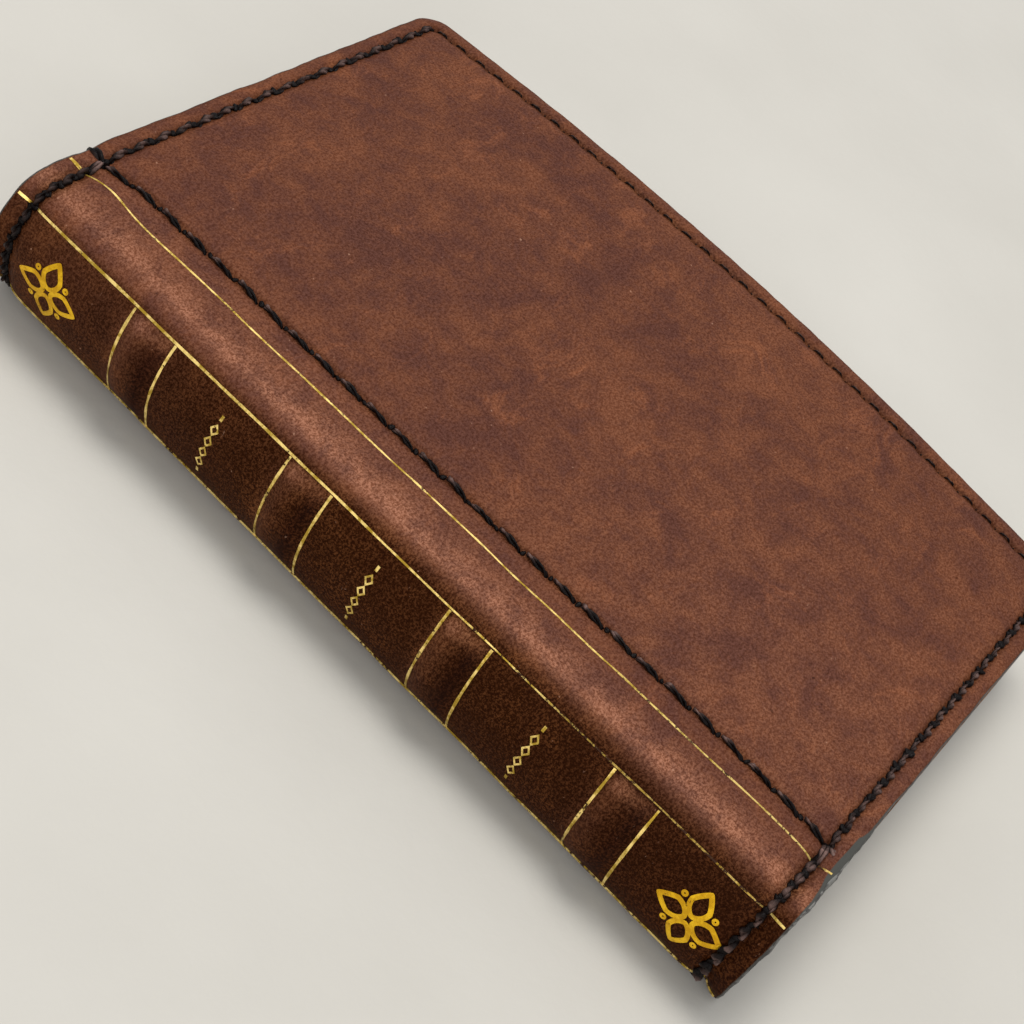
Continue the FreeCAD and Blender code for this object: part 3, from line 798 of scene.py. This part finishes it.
leaves, tree, shader = new_material("leaf_edges")
place = object_place(tree)
sheets = noise_of(tree, stretched(tree, place, 0, (12, 12, 5200)), 1, 3, 0.6)
sections = bands_of(tree, place, 155, 0.8, "Z")
stain = noise_of(tree, place, 60, 4, 0.6)
colour = blend_colours(tree, between(tree, sheets, 0.35, 0.65), (0.42, 0.35, 0.24), (0.76, 0.69, 0.55))
colour = blend_colours(tree, between(tree, sections, 0.12, 0.0, 0, 0.5), colour, (0.3, 0.23, 0.15))
colour = blend_colours(tree, between(tree, stain, 0.55, 0.8, 0, 0.35), colour, (0.5, 0.38, 0.22))
outer_leaf = between(tree, facing_up(tree), 0.97, 0.995)
fibres = noise_of(tree, place, 700, 5, 0.7)
colour = blend_colours(tree, outer_leaf, colour, paper_colour(tree, fibres))
ridges = times(tree, sheets, between(tree, outer_leaf, 0, 1, 1, 0))
finish(tree, shader, colour, between(tree, fibres, 0, 1, 0.78, 0.95), ridges, 0.00008, 0.8)
finish_node("page_block", leaves)

cotton_mull, tree, shader = new_material("cotton_mull")
warp, weft = (bands_of(tree, object_place(tree), 260, 0.4, direction) for direction in "YZ")
weave = reckon(tree, "MAXIMUM", warp, weft)
colour = blend_colours(tree, weave, (0.3, 0.24, 0.16), (0.66, 0.6, 0.48))
finish(tree, shader, colour, between(tree, weave, 0, 1, 0.95, 0.8), weave, 0.0001, 0.8)
finish_node("spine_mull", cotton_mull)

strip_leather = suede_finish("strip_leather", "object", 1.2, 0.8, 0.0001)
for number in range(1, 5):
    finish_node("raised_band_%d" % number, strip_leather)

# ---------------------------------------------------------------- hand stitching
# Two-ply black linen thread, waxed, sewn with two needles so that the outer and the inner side
# share every hole. Each stitch dips into its holes, where black knots of wax and thread ends sit that also
# stand for the shade in the holes. The stitches carry a painted highlight on the side facing the light.
black_thread, tree, shader = new_material("waxed_black_thread")
place = object_place(tree)
dust = between(tree, noise_of(tree, place, 520, 3, 0.6), 0.5, 0.68)
fibres = noise_of(tree, place, 3400, 3, 0.7)
# Painted highlight on the thread: a pale greyish-pink tone, laid where each stitch's mark asks for it and
# dimmed in patches.
glint_tone = blend_colours(tree, fibres, (0.05, 0.03, 0.026), (0.33, 0.2, 0.17))
painted_glint = times(tree, mark(tree, "painted_glint"), between(tree, dust, 0, 1, 1.0, 0.35))
colour = blend_colours(tree, painted_glint, (0.003, 0.0014, 0.0013), glint_tone)
finish(tree, shader, colour, between(tree, fibres, 0.3, 0.7, 0.3, 0.55), fibres, 0.00012)
shader.inputs["Specular IOR Level"].default_value = 0.1


def twist_thread(name, radius, length, turns, cuts):
    """A straight length of two-ply thread along X at the origin."""
    bpy.ops.object.select_all(action="DESELECT")
    for side in (-1, 1):
        middle = (0, side * 0.5 * radius, 0)
        bpy.ops.mesh.primitive_cylinder_add(vertices=6, radius=0.62 * radius, depth=length, location=middle,
                                            rotation=(0, math.pi / 2, 0))
        ply = bpy.context.object
        ply.name = "%s_ply_%d" % (name, side + 1)
        bpy.ops.object.transform_apply(location=True, rotation=True, scale=True)
        select_edges(ply, lambda edge: abs(edge.verts[0].co.x - edge.verts[1].co.x) > 0.9 * length)
        bpy.ops.mesh.subdivide(number_cuts=cuts)
        bpy.ops.object.mode_set(mode="OBJECT")
    thread = join_pieces(["%s_ply_%d" % (name, number) for number in (0, 2)], name)
    use_modifier(thread, "SIMPLE_DEFORM", deform_method="TWIST", deform_axis="X", angle=turns * math.tau)
    bpy.ops.object.shade_smooth()
    thread.data.materials.append(black_thread)
    return thread


def join_pieces(names, name):
    bpy.ops.object.select_all(action="DESELECT")
    for piece in names:
        bpy.data.objects[piece].select_set(True)
    bpy.context.view_layer.objects.active = bpy.data.objects[names[0]]
    bpy.ops.object.join()
    joined = bpy.context.object
    joined.name = name
    return joined


def on_hide(lay, flat, depth=0.0):
    """Takes places measured on the flat hide (round it, along it, height) to the laid hide. With a depth
    they go straight through the cover to its inner side, whatever its edge does."""

    def mixed(grid, places):
        sides = []
        for axis, values in ((0, lay["u"]), (1, lay["y"])):
            first = np.clip(np.searchsorted(values, places[:, axis]) - 1, 0, len(values) - 2)
            share = (places[:, axis] - values[first]) / (values[first + 1] - values[first])
            sides.append((first, share[:, None]))
        (i, across), (j, along) = sides
        near_side = grid[i, j] * (1 - along) + grid[i, j + 1] * along
        far_side = grid[i + 1, j] * (1 - along) + grid[i + 1, j + 1] * along
        return near_side * (1 - across) + far_side * across

    if depth == 0:
        return mixed(lay["points"], flat) + mixed(lay["normals"], flat) * flat[:, 2:3]
    inward = 3 * mm
    level_u = np.clip(flat[:, 0], inward, fore_row_u - inward)
    level_y = np.clip(flat[:, 1], inward - row_y, row_y - inward)
    level = np.column_stack([level_u, level_y])
    return mixed(lay["points"], flat) - mixed(lay["normals"], level) * (depth + flat[:, 2:3])


def lay_piece(piece, lay, depth=0.0):
    move_points(piece, on_hide(lay, points_of(piece), depth))
    edit_all(piece)
    bpy.ops.mesh.normals_make_consistent(inside=False)
    bpy.ops.object.mode_set(mode="OBJECT")


def course(start, end):
    """Both ends as arrays, the length between them, the way along it and the way to its left."""
    start, end = np.array(start), np.array(end)
    length = float(np.hypot(*(end - start)))
    way = (end - start) / length
    return start, end, length, way, np.array([-way[1], way[0]])


def copy_of(piece, name):
    twin = piece.copy()
    twin.data = piece.data.copy()
    twin.name = name
    bpy.context.collection.objects.link(twin)
    return twin


def sew(name, lay, holes, kind, seat, seed, depth=0.0, *, slant, glint, stout=1.0, share=0.9, swell=1.0):
    """One row: a thread copied from hole to hole, pulled a little askew, and a knot in every hole. stout is
    its thickness, share the part of each step that shows, glint how strong, where and how wide the painted
    highlight on each stitch is, and swell the size of the knots."""
    thread, knot = kind
    chance = random.Random(seed)
    length = max(point.co.x for point in thread.data.vertices) * 2
    names = []
    for number, (start, end) in enumerate(zip(holes, holes[1:])):
        start, end, run, way, side = course(start, end)
        stitch = copy_of(thread, "%s_stitch_%d" % (name, number))
        flat = points_of(stitch)
        fuzz = waves(flat, 0.42 * mm, seed + number) * 0.24 * mm
        flat = flat * np.array([1, 1.1, 1]) + np.column_stack([0 * fuzz, fuzz, fuzz[::-1]])
        roll = chance.uniform(0, math.tau)
        y = flat[:, 1] * math.cos(roll) - flat[:, 2] * math.sin(roll)
        z = flat[:, 1] * math.sin(roll) + flat[:, 2] * math.cos(roll)
        part = flat[:, 0] / length
        fat = stout * (1 + 0.14 * np.cos(math.pi * part * 1.6) + chance.uniform(-0.07, 0.07))
        lean = slant * (1 + chance.uniform(-0.5, 0.5)) * 2 * part + chance.uniform(-0.08, 0.08) * mm
        middle = (start + end) / 2 + way * chance.uniform(-0.1, 0.1) * mm
        spot = middle + np.outer(part * run * share, way) + np.outer(y * fat + lean, side)
        height = z * fat + seat + chance.uniform(-0.04, 0.04) * mm - (np.abs(2 * part) ** 5) * 0.5 * mm
        move_points(stitch, np.column_stack([spot, height]))
        # Painted highlight on the side of the stitch that faces the light, strongest at one place along it.
        lit_side = ease(z - 0.4 * y, -0.15 * mm, 0.4 * mm)
        mark_points(stitch, "painted_glint", glint[0] * bell(part - glint[1], glint[2]) * lit_side)
        names.append(stitch.name)
    for number, hole in enumerate(holes):
        lump = copy_of(knot, "%s_knot_%d" % (name, number))
        shape = [chance.uniform(0.8, 1.25), chance.uniform(0.8, 1.25), chance.uniform(0.7, 1.1)]
        flat = points_of(lump) * stout * swell * np.array(shape)
        turn = chance.uniform(0, math.tau)
        cos, sin = math.cos(turn), math.sin(turn)
        spin = np.array([[cos, sin, 0], [-sin, cos, 0], [0, 0, 1]])
        strayed = [measure + chance.uniform(-0.15, 0.15) * mm for measure in hole]
        move_points(lump, flat @ spin + np.array([*strayed, seat + (0.5 * swell - 0.68) * mm]))
        names.append(lump.name)
    row = join_pieces(names, name)
    lay_piece(row, lay, depth)
    return row


def roll_knot(name, radius):
    """A lump of wax and thread ends; it is black and also stands for the shade in its hole."""
    bpy.ops.mesh.primitive_ico_sphere_add(subdivisions=2, radius=radius)
    knot = bpy.context.object
    knot.name = name
    lumpy = points_of(knot) * np.array([1.0, 0.85, 0.6])
    lumpy *= (1 + 0.35 * waves(lumpy, 0.6 * radius, 5))[:, None]
    move_points(knot, lumpy)
    bpy.ops.object.shade_smooth()
    knot.data.materials.append(black_thread)
    return knot


fine = twist_thread("fine_thread", 0.5 * mm, 5.0 * mm, 0.9, 6), roll_knot("fine_knot", 0.55 * mm)
heavy = twist_thread("heavy_thread", 0.66 * mm, 3.6 * mm, 0.7, 5), roll_knot("heavy_knot", 0.75 * mm)
# Each row's style includes the strength, place and width of the painted highlight on its stitches.
row_styles = {
    "head": {"slant": 0.3 * mm, "stout": 1.1, "share": 0.9, "glint": (0.6, 0.05, 0.22), "swell": 1.15},
    "fore": {"slant": 0.06 * mm, "stout": 0.36, "share": 0.55, "glint": (0.4, 0.1, 0.2), "swell": 0.9},
    "tail": {"slant": 0.3 * mm, "stout": 1.05, "share": 0.84, "glint": (0.7, 0.0, 0.24), "swell": 1.4},
    "hinge": {"slant": -0.26 * mm, "stout": 0.88, "share": 0.86, "glint": (0.8, 0.36, 0.13)},
}
cover_stack = 4.0 * mm
inside_slim = 0.62


def rows_of_cover(cover, lay, seat, seed, depth=0.0):
    """The rows of one side of a cover: one piece for head, fore-edge and tail, and one for the hinge. With a
    depth they lie inside the cover, finer, and the hinge row keeps off the paper but for a few stitches."""
    ending, slim = ("_inside", inside_slim) if depth else ("", 1.0)
    rows = {
        "head": [(u, row_y) for u in head_holes],
        "fore": [(fore_row_u, y) for y in fore_holes],
        "tail": [(u, -row_y) for u in tail_holes],
        "hinge": [(hinge_row_u(y) - 0.13 * depth, y) for y in hinge_holes],
    }
    made = {}
    for row, seed_step in (("head", 0), ("fore", 1), ("tail", 2), ("hinge", 5)):
        style = dict(row_styles[row], stout=slim * row_styles[row]["stout"])
        row_seat = seat - 0.05 * depth if row == "hinge" else seat
        name = "%s_%s_row%s" % (cover, row, ending)
        made[row] = sew(name, lay, rows[row], fine, row_seat, seed + seed_step, depth, **style)
    edge_rows = [made[row].name for row in ("head", "fore", "tail")]
    edge = join_pieces(edge_rows, "%s_edge_thread%s" % (cover, ending))
    hinge = made["hinge"]
    hinge.name = "%s_hinge_thread%s" % (cover, ending)
    for piece in (edge, hinge):
        rest_on_table(piece)
        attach(piece, cover)
    return edge, hinge


edge, hinge = rows_of_cover("front_cover", front_lay, 0.3 * mm, 10)
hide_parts("front_edge_stitching")
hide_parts("front_hinge_stitching")
edge, hinge = rows_of_cover("back_cover", back_lay, 0.38 * mm, 20)
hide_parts("back_edge_stitching")
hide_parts("back_hinge_stitching")
rows_of_cover("front_cover", front_lay, -0.2 * mm, 30, cover_stack)
rows_of_cover("back_cover", back_lay, -0.55 * mm, 40, cover_stack)

for end_name, side, node in (("head", 1, "spine_head_stitching"), ("tail", -1, "spine_tail_stitching")):
    parts = []
    # The heavy rows carry a painted highlight, weaker at the head and on the lower part.
    for part, lay, holes, seed, glint in (
        ("upper", front_lay, [(u, spine_row_y(side, u)) for u in spine_holes], 50, 0.45 - 0.2 * side),
        ("lower", back_lay, [(u, spine_row_y(side, -34 * mm)) for u in back_spine_holes], 60, 0.2),
    ):
        name, glint = "spine_%s_thread_%s" % (end_name, part), (glint, 0.16, 0.2)
        parts.append(sew(name, lay, holes, heavy, 0.42 * mm, seed + side, slant=0.2 * mm, glint=glint).name)
    row = join_pieces(parts, "spine_%s_thread" % end_name)
    rest_on_table(row)
    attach(row, "book_block")
    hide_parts(node)


def curl_thread(name, controls):
    """A length of heavy thread bent along a smooth line through the hide's own measures."""
    curl = copy_of(heavy[0], name)
    flat = points_of(curl)
    length = 2 * flat[:, 0].max()
    part = np.clip(flat[:, 0] / length + 0.5, 0, 1)
    controls = np.array(controls) * mm
    last = len(controls) - 1
    line, slope = np.zeros((len(flat), 3)), np.zeros((len(flat), 3))
    for number, control in enumerate(controls):
        line += (math.comb(last, number) * part**number * (1 - part) ** (last - number))[:, None] * control
        if number < last:
            weight = last * math.comb(last - 1, number) * part**number * (1 - part) ** (last - 1 - number)
            slope += weight[:, None] * (controls[number + 1] - control)
    slope /= np.linalg.norm(slope, axis=1)[:, None]
    side = np.array([1.0, 0, 0]) - slope * slope[:, :1]
    side /= np.linalg.norm(side, axis=1)[:, None]
    move_points(curl, line + side * flat[:, 1:2] + np.cross(slope, side) * flat[:, 2:3])
    # Painted highlight along the top of the middle of the curl.
    mark_points(curl, "painted_glint", bell(part - 0.5, 0.25) * ease(flat[:, 2], -0.1 * mm, 0.5 * mm))
    return curl


for cover, lay, outer_z in (("front_cover", front_lay, face_z), ("back_cover", back_lay, 0)):
    names = []
    for side in (1, -1):
        y = side * row_y / mm
        corner_u = hinge_row_u(side * row_y) / mm
        reach, rise, veer = (1, 0, 0.5) if side > 0 else (0.45, -0.5, -0.2)
        far_u, far_y = corner_u + 2 * veer, y + side * 3.9 * reach
        over = curl_thread("%s_loop_%d" % (cover, side + 1), [
            (corner_u, y - side * 0.4, -0.6), (corner_u + 0.2, y + side * 0.6, 0.9 + rise),
            (corner_u + veer, y + side * 2.0 * reach, 0.4 + rise), (far_u, far_y, 0.6 + rise),
            (far_u, far_y, -1.4), (far_u, y + side * 3.3 * reach, -2.2)])
        across = curl_thread("%s_step_%d" % (cover, side + 1), [
            (0.3, y, -0.5), (-0.4, y + 0.2, 1.0), (-1.8, y, 0.55), (-3.0, y - 0.1, 1.0), (-3.8, y, -0.4)])
        lump = copy_of(heavy[1], "%s_corner_knot_%d" % (cover, side + 1))
        move_points(lump, points_of(lump) + np.array([-0.1, y, 0.35]) * mm)
        names += [over.name, across.name, lump.name]
    ends = join_pieces(names, "%s_hinge_ends" % cover)
    lay_piece(ends, lay)
    rest_on_table(ends)
    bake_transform(ends)

for spare in (*fine, *heavy):
    bpy.data.objects.remove(spare)

# ---------------------------------------------------------------- gold tooling
# Gold foil pressed into the damp leather with brass fillets and small hand stamps: lines along the
# shoulders and the edges of the back, a pair beside each band, and stamps between. It has partly
# rubbed off.
gold_foil, tree, shader = new_material("gold_foil")
place = object_place(tree)
wear = mark(tree, "foil_wear")
crumbs = shared(tree, noise_of(tree, place, 1500, 3, 0.7), 0.6, noise_of(tree, place, 260, 3, 0.6), 0.4)
lost = between(tree, reckon(tree, "ADD", crumbs, times(tree, wear, 0.25)), 0.6, 0.68)
# Painted highlights on the gold: noise mixes a bright tone, paler and creamier on the worn lines, with a dull
# one, besides the foil's own reflection.
pale = between(tree, wear, 0.0, 0.04)
dull = blend_colours(tree, pale, (0.62, 0.33, 0.01), (0.42, 0.27, 0.03))
bright = blend_colours(tree, pale, (0.9, 0.54, 0.02), (1.0, 0.74, 0.25))
shine = blend_colours(tree, between(tree, noise_of(tree, place, 420, 4, 0.7), 0.4, 0.62), dull, bright)
shine = blend_colours(tree, between(tree, wear, 0.3, 0.45, 0.0, 0.75), shine, (0.2, 0.12, 0.018))
colour = blend_colours(tree, lost, shine, (0.035, 0.012, 0.005))
finish(tree, shader, colour, between(tree, crumbs, 0.3, 0.7, 0.28, 0.5), crumbs)
tree.links.new(between(tree, lost, 0, 1, 0.6, 0.0), shader.inputs["Metallic"])
shader.inputs["Specular IOR Level"].default_value = 0.1


def foil(piece, wear_at, thickness=0.05 * mm):
    """Gives a flat shape the foil's thickness and finish; wear_at says how worn it is at each place."""
    piece.data.materials.append(gold_foil)
    use_modifier(piece, "SOLIDIFY", thickness=thickness, offset=0)
    places = points_of(piece)
    mark_points(piece, "foil_wear", wear_at(places[:, 0], places[:, 1]))


foil_height = 0.03 * mm


def straight(along):
    return 0 * along


def fillet_line(name, start, end, width, wobble, seed, wear_at, stray=straight, fullness=straight,
                thickness=0.05 * mm):
    """A ruled line of foil between two places on the flat hide; stray moves it sideways along its run, and
    fullness widens it."""
    start, end, length, way, side = course(start, end)
    steps = max(8, round(length / (0.6 * mm)))
    bpy.ops.mesh.primitive_grid_add(x_subdivisions=steps, y_subdivisions=2, size=1)
    line = bpy.context.object
    line.name = name
    flat = points_of(line)
    along, across = (flat[:, 0] + 0.5) * length, flat[:, 1] * width
    run = np.stack([along, 0 * along, 0 * along], axis=1)
    sway = waves(run, 12 * mm, seed) * wobble + stray(along)
    uneven = 1 + fullness(along) + 0.35 * waves(run, 2.5 * mm, seed + 1)
    spot = start + np.outer(along, way) + np.outer(across * uneven + sway, side)
    move_points(line, np.column_stack([spot, np.full(len(flat), foil_height)]))
    foil(line, wear_at, thickness)
    return line


def even_wear(value):
    return lambda u, y: value + 0 * u


def wear_to_tail(u, y):
    return 0.12 + 0.36 * ease(-y, -5 * mm, 50 * mm)


def joint_wear(u, y):
    return 0.24 + 0.12 * ease(-y, -10 * mm, 60 * mm)


def roller_slip(along):
    """Near the head the joint line was rolled in askew, round the start of the stitching."""
    return -1.0 * mm * bell(along - 143.5 * mm, 4.5 * mm)


def fuller_to_head(along):
    return 0.7 * ease(along, 50 * mm, 100 * mm)


unworn, little_worn, half_worn, foot_worn = (even_wear(value) for value in (0, 0.06, 0.25, 0.34))
edge_y = half_height - 0.5 * mm
joint_tail, joint_head = (-3.4 * mm, -edge_y), (-4.95 * mm, edge_y)
seam_u = front_lay["u"][0]
upper_tail, upper_foot, upper_head = ((edge_line_u, y) for y in (-edge_y, -row_y, edge_y))
lower_tail, lower_head = (seam_u, -edge_y), (seam_u, edge_y)
lines = [
    fillet_line("joint_line", joint_tail, joint_head, 0.36 * mm, 0.25 * mm, 1, joint_wear, roller_slip),
    fillet_line("joint_line_end", (-4.5 * mm, row_y + 0.9 * mm), joint_head, 0.6 * mm, 0, 2, little_worn),
    fillet_line("upper_line", upper_foot, upper_head, 0.25 * mm, 0.15 * mm, 3, wear_to_tail,
                fullness=fuller_to_head),
    fillet_line("upper_line_end", upper_tail, upper_foot, 0.42 * mm, 0, 4, half_worn),
    fillet_line("lower_line", lower_tail, lower_head, 0.5 * mm, 0, 5, foot_worn, thickness=0.36 * mm),
]
for number, y_band in enumerate(band_places):
    for side, wear_at in ((-1, little_worn), (1, half_worn)):
        y = y_band + side * cross_line_gap
        start, end = (edge_line_u - 0.3 * mm, y + 0.35 * mm), (seam_u + 0.3 * mm, y - 0.75 * mm)
        name = "cross_line_%d_%d" % (number, side + 1)
        lines.append(fillet_line(name, start, end, 0.43 * mm, 0.12 * mm, 7 + number + side, wear_at))

middle_u = (edge_line_u + seam_u) / 2


def cut_shape(name, corners, outline, ring):
    """A flat stamp: a regular outline reshaped by outline(angle) to a radius; with ring it is hollow."""
    bpy.ops.mesh.primitive_circle_add(vertices=corners, radius=1, fill_type="NGON")
    stamp = bpy.context.object
    stamp.name = name
    flat = points_of(stamp)
    turns = np.arctan2(flat[:, 1], flat[:, 0])
    shape = np.array([outline(turn) for turn in turns])
    move_points(stamp, np.column_stack([shape, 0 * turns]))
    edit_all(stamp)
    bpy.ops.mesh.inset(thickness=ring)
    bpy.ops.mesh.delete(type="FACE")
    bpy.ops.object.mode_set(mode="OBJECT")
    return stamp


def place_shape(stamp, turn, u, y, wear_at):
    flat = points_of(stamp)
    turned_u = flat[:, 0] * math.cos(turn) - flat[:, 1] * math.sin(turn)
    turned_y = flat[:, 0] * math.sin(turn) + flat[:, 1] * math.cos(turn)
    move_points(stamp, np.column_stack([turned_u + u, turned_y + y, np.full(len(flat), foil_height)]))
    foil(stamp, wear_at)
    lines.append(stamp)


def petal(turn):
    """An almond with its point outwards."""
    along = 2.75 * mm * math.cos(turn)
    return along, 2.0 * mm * math.sin(turn) * (1 - 0.5 * max(0, math.cos(turn))) * abs(math.sin(turn)) ** 0.15


def lozenge(turn):
    scale = 1 / (abs(math.cos(turn)) / (1.2 * mm) + abs(math.sin(turn)) / (0.8 * mm))
    return scale * math.cos(turn), scale * math.sin(turn)


def dot(turn):
    return 0.55 * mm * math.cos(turn), 0.55 * mm * math.sin(turn)


for end_name, y_end in (("head", 63.6 * mm), ("tail", -65.6 * mm)):
    for number in range(4):
        quarter = number * math.pi / 2
        for stamp, corners, outline, rim, reach, turn in (
            ("petal", 28, petal, 0.8 * mm, 3.15 * mm, quarter),
            ("dot", 12, dot, 0.4 * mm, 4.0 * mm, quarter + math.pi / 4),
        ):
            shape = cut_shape("%s_%s_%d" % (end_name, stamp, number), corners, outline, rim)
            u, y = middle_u + reach * math.cos(turn), y_end + reach * math.sin(turn)
            place_shape(shape, turn, u, y, unworn)
for panel, y_panel in enumerate((30.1 * mm, -1.2 * mm, -33.6 * mm)):
    for number, u_step in enumerate((-3.6, -1.2, 1.2, 3.6)):
        shape = cut_shape("lozenge_%d_%d" % (panel, number), 16, lozenge, 0.3 * mm)
        place_shape(shape, 0, middle_u + u_step * mm, y_panel, little_worn)
    for side in (-1, 1):
        start, end = ((middle_u + side * reach, y_panel) for reach in (5.4 * mm, 6.4 * mm))
        name = "dash_%d_%d" % (panel, side + 1)
        lines.append(fillet_line(name, start, end, 0.4 * mm, 0, 3, little_worn))
tooling = join_pieces([piece.name for piece in lines], "spine_tooling")
lay_piece(tooling, front_lay)
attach(tooling, "book_block")
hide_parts("gold_tooling")

under_line = fillet_line("under_joint_line", joint_tail, joint_head, 0.42 * mm, 0.25 * mm, 9, half_worn)
lay_piece(under_line, back_lay)
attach(under_line, "book_block")
